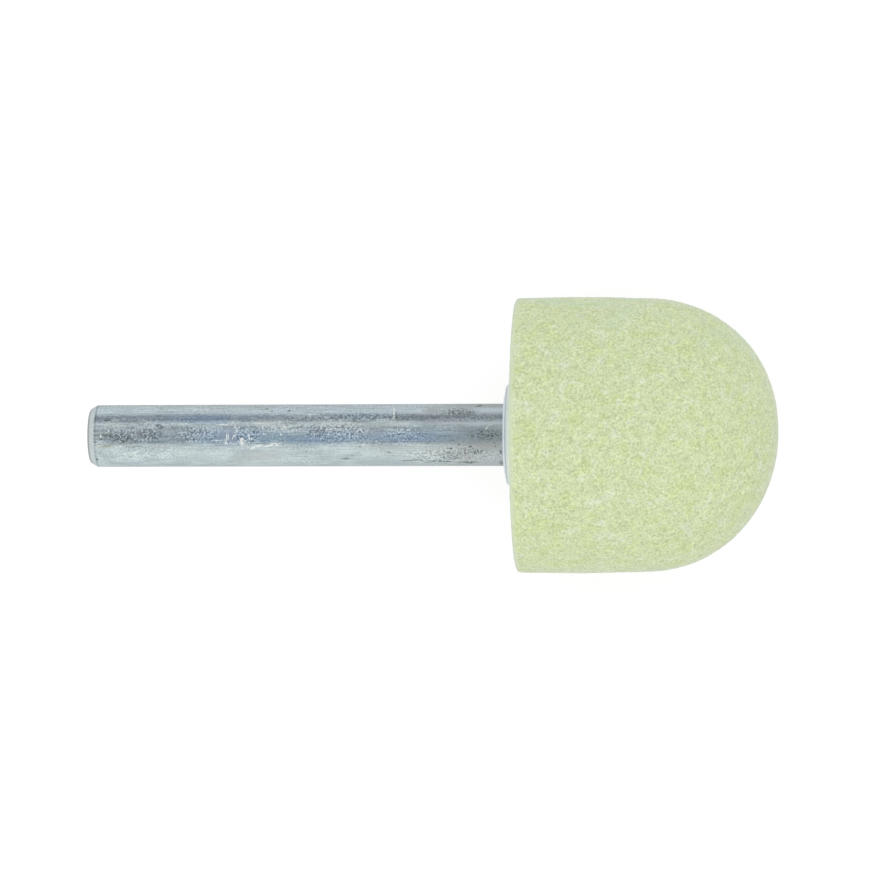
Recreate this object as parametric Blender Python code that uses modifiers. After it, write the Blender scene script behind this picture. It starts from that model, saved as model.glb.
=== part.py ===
"""Mounted point: a domed abrasive head on a straight steel shank, with a flanged collar.

The axis of the tool lies along +X, from the shank's end at the origin towards the dome, and +Z is up.
The head rests on a flat of its side, as it would on a bench. Every piece is turned about the same axis.
"""
import math

import bmesh
import bpy
from mathutils import Matrix

MM = 0.001

# Fits between the pieces
CLEARANCE = 0.30 * MM

# Shank, the length that stands clear of the head
SHANK_DIAMETER = 6.00 * MM
SHANK_FREE_LENGTH = 41.40 * MM
END_CHAMFER_LENGTH = 0.79 * MM
END_CHAMFER_DEPTH = 0.41 * MM

# Anchoring end of the spindle, inside the head
ANCHOR_DEPTH = 16.00 * MM
ANCHOR_TIP_CHAMFER = 0.70 * MM
GROOVE_COUNT = 3
GROOVE_WIDTH = 1.50 * MM
GROOVE_DEPTH = 0.70 * MM
KNURL_RIDGES = 24
KNURL_DEPTH = 0.26 * MM

# Head, a cylinder that ends in a dome
HEAD_DIAMETER = 26.40 * MM
HEAD_CYLINDER_LENGTH = 12.28 * MM
DOME_HEIGHT = 12.75 * MM
DOME_EXPONENT = 2.07
HEAD_EDGE_RADIUS = 0.60 * MM

# Collar, a flange on the head's back face with a sleeve that is let into it
SLEEVE_WALL = 0.90 * MM
SLEEVE_DEPTH = 3.60 * MM
FLANGE_OVERHANG = 0.70 * MM
FLANGE_THICKNESS = 0.70 * MM
FLANGE_EDGE_RADIUS = 0.45 * MM
STEP_WALL = 0.55 * MM
STEP_HEIGHT = 0.22 * MM

# Facets
SPINDLE_SIDES = 48
HEAD_SIDES = 64
DOME_STEPS = 15
EDGE_STEPS = 4
SHARP_ANGLE = math.radians(30)

# Colours in linear light, with roughness and metallic value
ZINC = ((0.50, 0.57, 0.60), 0.30, 1.0)
ALLOY = ((0.52, 0.56, 0.62), 0.45, 1.0)
ABRASIVE = ((0.62, 0.71, 0.42), 0.95, 0.0)

SHANK_RADIUS = SHANK_DIAMETER / 2
HEAD_RADIUS = HEAD_DIAMETER / 2
HEAD_BACK = SHANK_FREE_LENGTH
DOME_START = HEAD_BACK + HEAD_CYLINDER_LENGTH
ANCHOR_TIP = HEAD_BACK + ANCHOR_DEPTH
SLEEVE_BORE_RADIUS = SHANK_RADIUS + CLEARANCE
SLEEVE_RADIUS = SLEEVE_BORE_RADIUS + SLEEVE_WALL
SLEEVE_END = HEAD_BACK + SLEEVE_DEPTH
FLANGE_RADIUS = SLEEVE_RADIUS + FLANGE_OVERHANG
STEP_RADIUS = SLEEVE_BORE_RADIUS + STEP_WALL
KNURL_START = SLEEVE_END + 2 * CLEARANCE
KNURL_END = ANCHOR_TIP - ANCHOR_TIP_CHAMFER
GROOVE_RADIUS = SHANK_RADIUS - GROOVE_DEPTH


def clear_scene():
    """Remove whatever the file opened with."""
    for item in list(bpy.data.objects):
        bpy.data.objects.remove(item, do_unlink=True)


def make_collection(name):
    """Add a collection to the scene and return it."""
    collection = bpy.data.collections.new(name)
    bpy.context.scene.collection.children.link(collection)
    return collection


def make_material(name, finish):
    """Return a Principled material from a (colour, roughness, metallic) finish."""
    colour, roughness, metallic = finish
    material = bpy.data.materials.new(name)
    material.use_nodes = True
    shader = material.node_tree.nodes["Principled BSDF"]
    shader.inputs["Base Color"].default_value = (*colour, 1.0)
    shader.inputs["Roughness"].default_value = roughness
    shader.inputs["Metallic"].default_value = metallic
    material.diffuse_color = (*colour, 1.0)
    return material


def arc(centre_radius, centre_along, radius, start, end, steps):
    """Points of an arc in the (radius, along) plane; angles in degrees from the radial direction."""
    points = []
    for i in range(steps + 1):
        angle = math.radians(start + (end - start) * i / steps)
        points.append((centre_radius + radius * math.cos(angle), centre_along + radius * math.sin(angle)))
    return points


def turned(name, profile, sides, collection, axis, material):
    """Turn a (radius, along) profile about the tool's axis, with a flat of it facing down.

    The profile runs from the dome's side towards the shank's end on the outside.
    """
    mesh = bpy.data.meshes.new(name)
    form = bmesh.new()
    verts = [form.verts.new((radius, 0.0, along)) for radius, along in profile]
    for first, second in zip(verts, verts[1:]):
        form.edges.new((first, second))
    if profile[0][0] > 0.0:
        form.edges.new((verts[-1], verts[0]))
    form.to_mesh(mesh)
    form.free()
    piece = bpy.data.objects.new(name, mesh)
    collection.objects.link(piece)
    piece.parent = axis
    piece.rotation_euler = (0.0, 0.0, math.pi / sides)
    screw = piece.modifiers.new("turning", "SCREW")
    screw.axis = "Z"
    screw.steps = sides
    screw.render_steps = sides
    screw.use_merge_vertices = True
    screw.merge_threshold = 0.00001
    mesh.materials.append(material)
    return piece


def groove_centres():
    """Centres of the retaining grooves, spread evenly along the knurl, from the tip side."""
    pitch = (KNURL_END - KNURL_START) / GROOVE_COUNT
    return [KNURL_END - pitch * (i + 0.5) for i in range(GROOVE_COUNT)]


def grooved_profile(land, groove, offset):
    """Points along the grooved end, from the tip side to the shank side.

    land and groove are the radii between and in the grooves. offset narrows each groove at both of its
    edges, so that the head's bore keeps its clearance to the spindle there too.
    """
    points = []
    half_width = GROOVE_WIDTH / 2 - offset
    for centre in groove_centres():
        far = centre + half_width
        near = centre - half_width
        points += [(land, far), (groove, far), (groove, near), (land, near)]
    return points


def spindle_profile():
    """Anchor tip, grooves, plain shank and chamfered end."""
    tip_radius = SHANK_RADIUS - ANCHOR_TIP_CHAMFER
    points = [(0.0, ANCHOR_TIP), (tip_radius, ANCHOR_TIP), (SHANK_RADIUS, KNURL_END)]
    points += grooved_profile(SHANK_RADIUS, GROOVE_RADIUS, 0.0)
    points += [(SHANK_RADIUS, END_CHAMFER_LENGTH)]
    points += [(SHANK_RADIUS - END_CHAMFER_DEPTH, 0.0), (0.0, 0.0)]
    return points


def head_profile():
    """Dome, side and rounded back edge, then the blind bore from its mouth inwards."""
    power = 2 / DOME_EXPONENT
    points = [(0.0, DOME_START + DOME_HEIGHT)]
    for i in range(1, DOME_STEPS + 1):
        angle = math.pi / 2 * (1 - i / DOME_STEPS)
        radius = HEAD_RADIUS * math.cos(angle) ** power
        points.append((radius, DOME_START + DOME_HEIGHT * math.sin(angle) ** power))
    edge_along = HEAD_BACK + HEAD_EDGE_RADIUS
    points += arc(HEAD_RADIUS - HEAD_EDGE_RADIUS, edge_along, HEAD_EDGE_RADIUS, 0, -90, EDGE_STEPS)
    return points + bore_profile()


def bore_profile():
    """The head's bore: counterbore for the sleeve, then the spindle's grooved end with clearance."""
    mouth = SLEEVE_RADIUS + CLEARANCE
    bore = SHANK_RADIUS + CLEARANCE
    shoulder = SLEEVE_END + CLEARANCE
    bottom = ANCHOR_TIP + CLEARANCE
    points = [(mouth, HEAD_BACK), (mouth, shoulder), (bore, shoulder)]
    points += reversed(grooved_profile(bore, GROOVE_RADIUS + CLEARANCE, CLEARANCE))
    points += [(bore, bottom - ANCHOR_TIP_CHAMFER), (bore - ANCHOR_TIP_CHAMFER, bottom), (0.0, bottom)]
    return points


def collar_profile():
    """Sleeve, flange with a rounded rim, and the low step round the shank."""
    seat = HEAD_BACK - CLEARANCE
    shoulder = seat - FLANGE_THICKNESS
    front = shoulder - STEP_HEIGHT
    points = [(SLEEVE_BORE_RADIUS, SLEEVE_END), (SLEEVE_RADIUS, SLEEVE_END), (SLEEVE_RADIUS, seat)]
    points += [(FLANGE_RADIUS, seat)]
    edge_along = shoulder + FLANGE_EDGE_RADIUS
    points += arc(FLANGE_RADIUS - FLANGE_EDGE_RADIUS, edge_along, FLANGE_EDGE_RADIUS, 0, -90, EDGE_STEPS)
    points += [(STEP_RADIUS, shoulder), (STEP_RADIUS, front), (SLEEVE_BORE_RADIUS, front)]
    return points


def knurl_cutter(collection, spindle):
    """One object holding a square bar for each valley of the straight knurl.

    A bar stands on one of its long edges, which lies at the valley's root, so the valley is a right-angled V.
    """
    bar_radius = 2 * KNURL_DEPTH
    bar_end = ANCHOR_TIP + CLEARANCE
    bar_length = bar_end - KNURL_START
    root_radius = SHANK_RADIUS - KNURL_DEPTH
    form = bmesh.new()
    for i in range(KNURL_RIDGES):
        around = Matrix.Rotation(2 * math.pi * i / KNURL_RIDGES, 4, "Z")
        outwards = Matrix.Translation((root_radius + bar_radius, 0.0, KNURL_START + bar_length / 2))
        bmesh.ops.create_cone(form, cap_ends=True, segments=4, radius1=bar_radius, radius2=bar_radius,
                              depth=bar_length, matrix=around @ outwards)
    mesh = bpy.data.meshes.new("knurl_cutter")
    form.to_mesh(mesh)
    form.free()
    cutter = bpy.data.objects.new("knurl_cutter", mesh)
    collection.objects.link(cutter)
    cutter.parent = spindle
    cutter.hide_render = True
    cutter.display_type = "WIRE"
    return cutter


def finish(piece):
    """Keep the turned and cut form as the piece's mesh, shaded smooth with its corners sharp."""
    evaluated = piece.evaluated_get(bpy.context.evaluated_depsgraph_get())
    mesh = bpy.data.meshes.new_from_object(evaluated)
    piece.modifiers.clear()
    piece.data = mesh
    mesh.shade_smooth()
    mesh.set_sharp_from_angle(angle=SHARP_ANGLE)


def build():
    """Make the three pieces of the mounted point."""
    clear_scene()
    parts = make_collection("mounted_point")
    cutters = make_collection("cutters")
    axis = bpy.data.objects.new("tool_axis", None)
    axis.rotation_euler = (0.0, math.pi / 2, 0.0)
    parts.objects.link(axis)
    zinc = make_material("zinc_plated_steel", ZINC)
    alloy = make_material("collar_alloy", ALLOY)
    abrasive = make_material("bonded_abrasive", ABRASIVE)
    spindle = turned("spindle", spindle_profile(), SPINDLE_SIDES, parts, axis, zinc)
    knurl = spindle.modifiers.new("knurl", "BOOLEAN")
    knurl.operation = "DIFFERENCE"
    knurl.solver = "EXACT"
    knurl.object = knurl_cutter(cutters, spindle)
    collar = turned("collar", collar_profile(), SPINDLE_SIDES, parts, axis, alloy)
    head = turned("grinding_head", head_profile(), HEAD_SIDES, parts, axis, abrasive)
    for piece in (spindle, collar, head):
        finish(piece)


build()
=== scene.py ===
"""Looks of the mounted point: zinc plated spindle, satin collar and open-grained abrasive head.

The tool's axis lies along +X, from the shank's free end at the origin to the dome, and +Z is up.
The camera looks down on the tool as it lies on the side of its head, so the picture's up is +Y.
"""
import math

import bmesh
import bpy
from mathutils import Matrix, Vector, noise


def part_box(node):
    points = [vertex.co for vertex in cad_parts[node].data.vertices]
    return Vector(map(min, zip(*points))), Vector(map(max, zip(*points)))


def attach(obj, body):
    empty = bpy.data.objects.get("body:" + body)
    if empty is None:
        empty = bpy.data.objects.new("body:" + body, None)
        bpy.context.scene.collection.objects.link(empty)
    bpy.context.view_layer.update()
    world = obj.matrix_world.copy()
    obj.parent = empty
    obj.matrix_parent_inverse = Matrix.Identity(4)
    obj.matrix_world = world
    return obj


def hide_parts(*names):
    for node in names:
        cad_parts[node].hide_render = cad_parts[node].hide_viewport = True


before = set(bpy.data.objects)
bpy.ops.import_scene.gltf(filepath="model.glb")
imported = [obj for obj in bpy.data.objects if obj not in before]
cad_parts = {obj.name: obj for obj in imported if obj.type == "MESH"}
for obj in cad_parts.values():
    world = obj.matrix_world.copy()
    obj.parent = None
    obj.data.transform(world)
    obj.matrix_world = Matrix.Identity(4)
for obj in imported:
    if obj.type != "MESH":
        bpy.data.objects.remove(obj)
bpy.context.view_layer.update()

MM = 0.001

# Places along the axis, from the frame
SPINDLE_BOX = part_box("spindle")
COLLAR_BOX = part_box("collar")
HEAD_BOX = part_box("grinding_head")
HEAD_BACK = HEAD_BOX[0].x
HEAD_TIP = HEAD_BOX[1].x
ANCHOR_TIP = SPINDLE_BOX[1].x
COLLAR_FRONT = COLLAR_BOX[0].x
SLEEVE_END = COLLAR_BOX[1].x

# Every piece
CLEARANCE = 0.30 * MM
EDGE_BREAK = 0.06 * MM
LARGEST_BREAK_SHARE = 0.45
SEAT_GAP = 0.01 * MM
SHARP_ANGLE = math.radians(50)

# Spindle
SHANK_RADIUS = 3.0 * MM
END_FACE = 0.07 * MM
END_CHAMFER_LENGTH = 0.72 * MM
END_CHAMFER_DEPTH = 0.41 * MM
END_ROUND = 0.14 * MM
END_ROUND_MIDDLE = (0.3 * END_ROUND, 0.2 * END_ROUND)
ANCHOR_TIP_CHAMFER = 0.70 * MM
GROOVE_COUNT = 3
GROOVE_WIDTH = 1.50 * MM
GROOVE_DEPTH = 0.70 * MM
KNURL_RIDGES = 24
KNURL_DEPTH = 0.26 * MM
VALLEY_SLOPE = 3.0
TURN_PER_RIDGE = 8
KNURL_START = SLEEVE_END + 2 * CLEARANCE
KNURL_END = ANCHOR_TIP - ANCHOR_TIP_CHAMFER

# Collar
COLLAR_TURN = 192
FLANGE_RADIUS = 4.90 * MM
FLANGE_EDGE_RADIUS = 0.45 * MM
FLANGE_EDGE_STEPS = 10
SHOULDER = COLLAR_FRONT + 0.22 * MM
STEP_RADIUS = 3.85 * MM
STEP_HEIGHT = 0.15 * MM
SLEEVE_RADIUS = 4.20 * MM

# Head, with the slight crown and lean that the real one has
HEAD_RADIUS = 13.11 * MM
HEAD_CROWN = 0.14 * MM
BACK_FLARE = 0.075 * MM
CYLINDER_LENGTH = 12.28 * MM
DOME_EXPONENT = 2.08
TIP_EXTRA = 0.055 * MM
HEAD_EDGE_RADIUS = 0.38 * MM
HEAD_EDGE_STEPS = 20
OUTLINE_STEPS = 400
HEAD_DROP = 0.058 * MM
DOME_LEAN = 0.36 * MM
LEAN_START = 14.0 * MM

# Grain of the head, as relief
GRAIN_STEP = 0.18 * MM
GRAIN_TURN = 448
FEWEST_TURN = 28
CLOSEST_SHARE = 0.72
GRAIN_SIZE = 0.50 * MM
GRAIN_RELIEF = 0.050 * MM
GRAIN_WARP_SIZE = 0.8 * GRAIN_SIZE
GRAIN_WARP = 0.35 * GRAIN_SIZE
GRAIN_SLOPE = 1.6
GRAIN_LEVEL = 0.75
FINE_SIZE = 0.45 * GRAIN_SIZE
FINE_SHARE = 0.35
LUMP_SIZE = 3.0 * MM
LUMP_RELIEF = 0.030 * MM
GRAIN_SEED = 5

# Pattern of the head's colour
PATTERN_WARP_SIZE = 0.35 * MM
PATTERN_WARP = 0.09 * MM
STONE_SIZE = 0.235 * MM
WORM_SIZE = 0.27 * MM
WORM_WIDTH = 0.065
WORM_PATCH_SIZE = 0.42 * MM
WORM_SHARE = 0.42
BROAD_SIZE = 0.8 * MM
BROAD_SHARE = 0.28
PIT_SIZE = 0.38 * MM
PIT_PATCH_SIZE = 0.7 * MM
PIT_SHARE = 0.36
YELLOW_SIZE = 1.4 * MM
GREY_SIZE = 1.15 * MM
FLECK_SHARE = 0.36
GREEN_SIZE = 3.5 * MM
GREEN_START = 5.0 * MM
GREEN_END = 11.0 * MM
GREEN_SHARES = (0.03, 0.30)
# The back rim: greyer, and lifted by painted light on its rounded edge
RIM_START = HEAD_BACK + 0.05 * MM
RIM_END = HEAD_BACK + 0.62 * MM
RIM_SHARE = 0.85
RIM_EDGE = 1.3 * MM
RIM_EDGE_END = 0.5 * MM
RIM_EDGE_SHARE = 0.15
PATTERN_BUMP = 0.045 * MM

# Noise values between which each part of the head's pattern comes in or, for a fade, goes
WORM_PATCH_STEP = (0.42, 0.60)
BODY_STEP = (0.46, 0.64)
RIDGE_STEP = (0.61, 0.95)
PIT_FADE = (0.08, 0.20)
PIT_PATCH_STEP = (0.44, 0.56)
YELLOW_STEP = (0.47, 0.66)
GREY_STEP = (0.51, 0.69)
FLECK_PATCH_STEP = (0.25, 0.90)
FLECK_STEP = (0.36, 0.60)
GREEN_STEP = (0.50, 0.66)

# Pattern of the plating, with factors that draw a noise out along the shank
UPPER_RISE = 0.35 * MM
DRAWN_CLOUD = (0.4, 1.0, 1.0)
DRAWN_STREAK = (0.10, 1.0, 1.0)
DRAWN_LINE = (0.05, 1.0, 1.0)
DRAWN_WAVE = (0.35, 1.0, 1.0)
CLOUD_SIZE = 1.1 * MM
STREAK_SIZE = 0.35 * MM
STREAK_SHARE = 0.4
LINE_SIZE = 0.15 * MM
LINED_START = -1.5 * MM
LINED_END = -0.7 * MM
LINED_SHARE = 0.45
SPECKLE_SIZE = 0.20 * MM
ETCH_PATCH_SIZE = 1.3 * MM
TARNISH_SHARE = 0.7
NECK_START = 32.5 * MM
NECK_END = 37.0 * MM
THREAD_SIZE = 0.45 * MM
THREAD_WIDTH = 0.018
THREAD_PATCH_SIZE = 1.0 * MM
THREAD_SHARE = 0.45
DOT_SIZE = 0.19 * MM
DOT_SHARE = 0.9
DARK_SHARE = 0.80
LIGHT_SHARE = 0.95
WAVE_SIZE = 1.6 * MM
WAVE_BUMP = 0.035 * MM
SPECKLE_BUMP = 0.020 * MM

# Noise values between which each part of the plating's pattern comes in or, for a fade, goes
CLOUD_STEP = (0.35, 0.65)
STREAK_STEP = (0.50, 0.75)
DARK_LINE_STEP = (0.52, 0.70)
LIGHT_LINE_FADE = (0.48, 0.30)
ETCH_PATCH_STEP = (0.40, 0.60)
BRIGHT_STEP = (0.50, 0.59)
PITTED_FADE = (0.38, 0.47)
NECK_STEP = (0.25, 0.60)
THREAD_PATCH_STEP = (0.52, 0.62)
DOT_FADE = (0.43, 0.54)
DARK_MARK_FADE = (0.35, 0.60)
LIGHT_MARK_STEP = (0.34, 0.52)
CREASE_STEP = (0.36, 0.56)
SURFACE_STEP = (0.3, 0.7)

# Shares of a part below and above the values between which a noise or a place varies it
ETCH_SHARES = (0.20, 0.45)
NECK_SHARES = (0.20, 0.50)
DARK_MARK_SHARES = (1.0, 0.7)
LIGHT_MARK_SHARES = (0.65, 1.0)
CREASE_SHARES = (0.55, 0.9)
CREASE_SIDE_SHARES = (0.70, 1.0)

# How far out a mark is at half its strength, as a share of its size
MARK_EDGE = 0.85

# Warps, each with its size and its reach
BROAD_BLUR = (0.9 * MM, 0.14 * MM)
FINE_BLUR = (0.22 * MM, 0.09 * MM)
RUFFLE = (0.26 * MM, 0.06 * MM)
WANDER = (0.5 * MM, 0.12 * MM)

# The shank's chamfered end: its paler face, and painted shade as a dark line at its rounded outer edge
# and a broken one where it meets the shank
CHAMFER_FADE = (0.64 * MM, 0.80 * MM)
CHAMFER_RISE = (2.50 * MM, 2.58 * MM)
CHAMFER_SHARE = 0.6
END_LINE_FADE = (0.20 * MM, 0.36 * MM)
CREASE_PLACE = 0.87 * MM
CREASE_FADE = (0.03 * MM, 0.14 * MM)
CREASE_RISE = 0.5 * MM
CREASE_SHARE = 0.50

# Collar's turned rings and its satin
RING_SIZE = 0.12 * MM
RING_BUMP = 0.006 * MM
SATIN_SIZE = 1.2 * MM

# Surfaces
ABRASIVE_ROUGHNESS = 0.95
ABRASIVE_SPECULAR = 0.20
SHEEN_WEIGHT = 0.55
SHEEN_ROUGHNESS = 0.28
SHEEN_TINT = (0.86, 0.84, 1.0, 1.0)
ZINC_SPECULAR = (0.72, 0.72, 0.72, 1.0)
ZINC_ROUGHNESS = (0.15, 0.21)
BRIGHT_ROUGH = 0.26
DARK_ROUGH = 0.25
LIGHT_ROUGH = 0.45
NECK_ROUGH = 0.12
CHAMFER_ROUGH = 0.15
ALLOY_METALLIC = 0.25
ALLOY_ROUGHNESS = (0.38, 0.5)

# Camera, at the photograph's viewing angle
FRAME_PIXELS = 870
PIXELS_PER_MM = 10.394
FOCAL_PIXELS = 4400.0
CAMERA_SWING = 0.078
CAMERA_ROLL = 0.0032
HEAD_BACK_PIXEL = (516.8, 434.7)
SENSOR = 36.0
CLIP_START = 10 * MM
CLIP_END = 10.0

# Colours in linear light
GRAIN_PIT = (0.474, 0.533, 0.307, 1.0)
GRAIN_BODY = (0.594, 0.655, 0.388, 1.0)
GRAIN_RIDGE = (0.762, 0.829, 0.503, 1.0)
FLECK = (0.76, 0.82, 0.70, 1.0)
GREEN_PATCH = (0.53, 0.67, 0.45, 1.0)
# Greyer back rim, made paler by painted light on the rounded edge
BACK_RIM_AND_PAINTED_LIGHT = (0.67, 0.735, 0.54, 1.0)
ZINC_DARK = (0.425, 0.495, 0.515, 1.0)
ZINC_LIGHT = (0.548, 0.629, 0.632, 1.0)
ZINC_STREAK = (0.38, 0.43, 0.44, 1.0)
ZINC_BLUE = (0.38, 0.49, 0.62, 1.0)
ZINC_TEAL = (0.44, 0.57, 0.60, 1.0)
ZINC_MAUVE = (0.47, 0.47, 0.52, 1.0)
# Painted shade, for a strip all along the shank near its +Y edge
ZINC_PAINTED_SHADE = (0.41, 0.48, 0.51, 1.0)
ZINC_BEIGE = (0.57, 0.60, 0.55, 1.0)
ZINC_PALE = (0.64, 0.70, 0.67, 1.0)
ZINC_LILAC = (0.51, 0.51, 0.58, 1.0)
ZINC_WORN = (0.42, 0.455, 0.44, 1.0)
CREAM = (0.86, 0.86, 0.79, 1.0)
ZINC_GREY = (0.47, 0.51, 0.51, 1.0)
CHAMFER = (0.60, 0.65, 0.655, 1.0)
# Tarnish on the neck, and painted shade in the dark line at the chamfer's outer edge
TARNISH_AND_PAINTED_SHADE = (0.34, 0.36, 0.355, 1.0)
# Stains and dark marks, and painted shade in the dark line where the chamfer meets the shank
STAIN_AND_PAINTED_SHADE = (0.07, 0.08, 0.08, 1.0)
SCUFF = (0.97, 1.0, 0.95, 1.0)
RUST = (0.31, 0.265, 0.25, 1.0)
OLIVE = (0.30, 0.33, 0.23, 1.0)
DEEP_BLUE = (0.26, 0.38, 0.62, 1.0)
GREY_FILM = (0.46, 0.49, 0.48, 1.0)
NECK_BLUE = (0.50, 0.59, 0.64, 1.0)
NECK_GREY = (0.56, 0.63, 0.63, 1.0)
# Painted highlight on the collar's step
ALLOY_STEP_PAINTED_HIGHLIGHT = (0.80, 0.86, 0.88, 1.0)
# Painted shade where the collar's step meets its flange
ALLOY_PAINTED_SHADE_LINE = (0.47, 0.52, 0.54, 1.0)
ALLOY_FLANGE = (0.73, 0.79, 0.78, 1.0)
# Painted reflection of the green head on the collar's seat
ALLOY_SEAT_PAINTED_REFLECTION = (0.88, 0.95, 0.83, 1.0)

# Collar's further tones, each with the distances from its front between which it comes in: painted
# shade where step and flange meet, the flange's own tone, and a painted reflection of the green head
# at the seat
ALLOY_BANDS = (
    ((0.26 * MM, 0.34 * MM), ALLOY_PAINTED_SHADE_LINE),
    ((0.38 * MM, 0.48 * MM), ALLOY_FLANGE),
    ((0.52 * MM, 0.68 * MM), ALLOY_SEAT_PAINTED_REFLECTION),
)

# Factors on a surface's own tone: the head's patches, and the zinc's drawn lines and etched speckle
YELLOWER = (0.97, 0.99, 0.87, 1.0)
GREYER = (1.02, 1.01, 1.07, 1.0)
LINE_DARK = (0.81, 0.81, 0.81, 1.0)
LINE_LIGHT = (1.16, 1.16, 1.16, 1.0)
SPECK_LIGHT = (1.59, 1.54, 1.51, 1.0)
SPECK_DARK = (0.55, 0.55, 0.55, 1.0)
RING_DARK = (0.88, 0.88, 0.90, 1.0)

# Marks on the shank's upper side: along, across, half length and half width, and an angle if turned
DARK_MARKS = (
    (0.98, -2.25, 0.10, 0.20), (1.12, 0.10, 0.16, 0.10), (2.00, 0.05, 0.16, 0.09, 20),
    (2.45, 0.26, 0.12, 0.08), (1.50, -0.32, 0.14, 0.08), (2.75, -0.42, 0.15, 0.09),
    (3.60, 0.16, 0.14, 0.10), (3.40, -0.72, 0.12, 0.08), (2.00, 1.53, 0.16, 0.10),
    (7.05, 1.02, 0.36, 0.13, -8), (7.36, 0.76, 0.38, 0.14, 12), (7.30, 0.10, 0.22, 0.10, -10),
    (6.70, -0.20, 0.26, 0.10, 15), (4.50, -1.06, 1.10, 0.05), (17.40, 2.52, 0.15, 0.06),
    (17.90, 2.29, 0.10, 0.07), (19.60, 2.35, 0.16, 0.09), (15.00, -0.12, 0.20, 0.09),
    (30.30, 0.08, 0.14, 0.13), (30.00, 1.80, 0.50, 0.07, 100), (21.30, -1.53, 0.07, 0.10),
    (29.20, -1.63, 0.14, 0.08), (25.70, -1.96, 0.10, 0.06), (25.00, -2.25, 0.45, 0.07),
    (35.40, 2.10, 0.10, 0.14), (37.00, 2.10, 0.13, 0.14), (36.10, 2.25, 0.09, 0.07),
    (37.80, 2.73, 0.38, 0.07, 12), (36.00, -0.92, 0.11, 0.11), (37.10, -1.15, 0.21, 0.11),
    (37.50, -1.72, 0.10, 0.20), (38.20, -1.53, 0.13, 0.13), (40.00, -1.68, 0.12, 0.27),
    (39.50, -1.07, 0.09, 0.09), (31.50, -2.43, 1.30, 0.06), (34.20, -2.53, 1.20, 0.07, -2),
    (36.70, -2.63, 1.10, 0.09), (35.20, -1.31, 0.20, 0.07),
)
PEPPERED = (
    (3.00, -0.10, 1.50, 0.48), (3.90, -0.20, 0.90, 0.62), (6.20, 0.15, 1.60, 0.55),
    (35.30, -2.00, 1.20, 0.40), (40.00, -2.68, 0.30, 0.25), (36.00, 2.20, 1.80, 0.40),
    (37.20, -1.60, 1.60, 0.35), (38.60, 0.00, 1.80, 0.55), (1.95, 1.60, 0.50, 0.22),
)
ETCHED_FULLY = ((10.6, 0.10, 2.6, 0.85), (15.6, -0.05, 1.7, 1.0), (24.3, 0.30, 4.0, 1.0))
ETCHED_WELL = (
    (4.5, 0.05, 4.2, 0.85), (30.8, 0.1, 2.6, 0.8), (26.9, 1.75, 7.0, 0.4), (36.0, -1.9, 5.5, 0.9),
)
ETCHED_LESS = ((36.5, 2.0, 4.2, 0.8), (20.0, 0.8, 9.0, 0.5), (4.8, 0.95, 4.2, 0.34))
ETCHED_FAINTLY = ((5.5, -1.7, 4.8, 0.9), (6.2, 1.7, 2.2, 0.40), (19.0, 0.0, 2.4, 0.9))
ETCHED = ((ETCHED_FULLY, 1.0), (ETCHED_WELL, 0.8), (ETCHED_LESS, 0.65), (ETCHED_FAINTLY, 0.42))
TARNISHED = (
    (38.5, 1.82, 4.6, 0.26), (39.4, 0.1, 4.0, 0.70), (38.9, -0.72, 4.2, 0.55),
    (39.6, -1.25, 2.4, 0.5), (38.8, 2.85, 4.6, 0.22), (32.6, 1.80, 4.2, 0.24),
    (33.4, 2.35, 1.0, 0.30),
)
LIGHT_MARKS = (
    (13.66, -0.25, 0.60, 0.075, 84), (13.88, -0.12, 0.42, 0.065, 88), (13.42, -0.42, 0.18, 0.06, 80),
    (13.62, -0.72, 0.16, 0.12, 90), (14.66, 0.40, 0.34, 0.07, -84), (14.50, 0.78, 0.22, 0.06, -50),
    (14.85, 0.80, 0.20, 0.06, 55), (14.35, -0.14, 0.34, 0.07, 64), (14.55, -0.02, 0.16, 0.05, 70),
    (15.84, -0.10, 0.38, 0.08, 98), (16.08, -0.30, 0.14, 0.06, 70), (17.28, 0.13, 0.11, 0.09),
    (17.14, 0.76, 0.18, 0.06, 90), (15.15, -0.40, 0.26, 0.14, 20), (15.10, -0.72, 0.16, 0.24, 10),
    (15.45, -0.52, 0.12, 0.06, 60), (16.18, -1.16, 0.38, 0.10, 35), (16.50, -0.98, 0.22, 0.09, 15),
    (16.85, -1.00, 0.28, 0.09), (17.62, -1.04, 0.52, 0.08, 12), (18.10, -0.82, 0.36, 0.08, 24),
    (18.50, -0.92, 0.22, 0.06, -50), (18.85, 0.14, 0.07, 0.16), (18.60, -0.74, 0.80, 0.04),
    (12.70, -0.47, 0.55, 0.05, 4), (13.32, 1.10, 0.74, 0.06, -2), (19.00, 0.66, 0.30, 0.06, -45),
    (19.30, 0.70, 0.34, 0.06, -43), (29.70, 2.06, 0.68, 0.058, -82), (18.80, 1.31, 0.10, 0.14),
    (30.10, 0.50, 0.22, 0.06, 84), (38.70, 0.62, 0.26, 0.05, 62), (39.05, 0.98, 0.34, 0.04, 22),
    (9.60, 1.12, 0.90, 0.04, 1), (1.45, -0.07, 0.07, 0.16), (2.25, 0.52, 0.07, 0.12),
    (2.90, 0.53, 0.08, 0.12), (3.40, -0.94, 0.12, 0.08), (17.00, 1.15, 0.70, 0.04),
)

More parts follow.
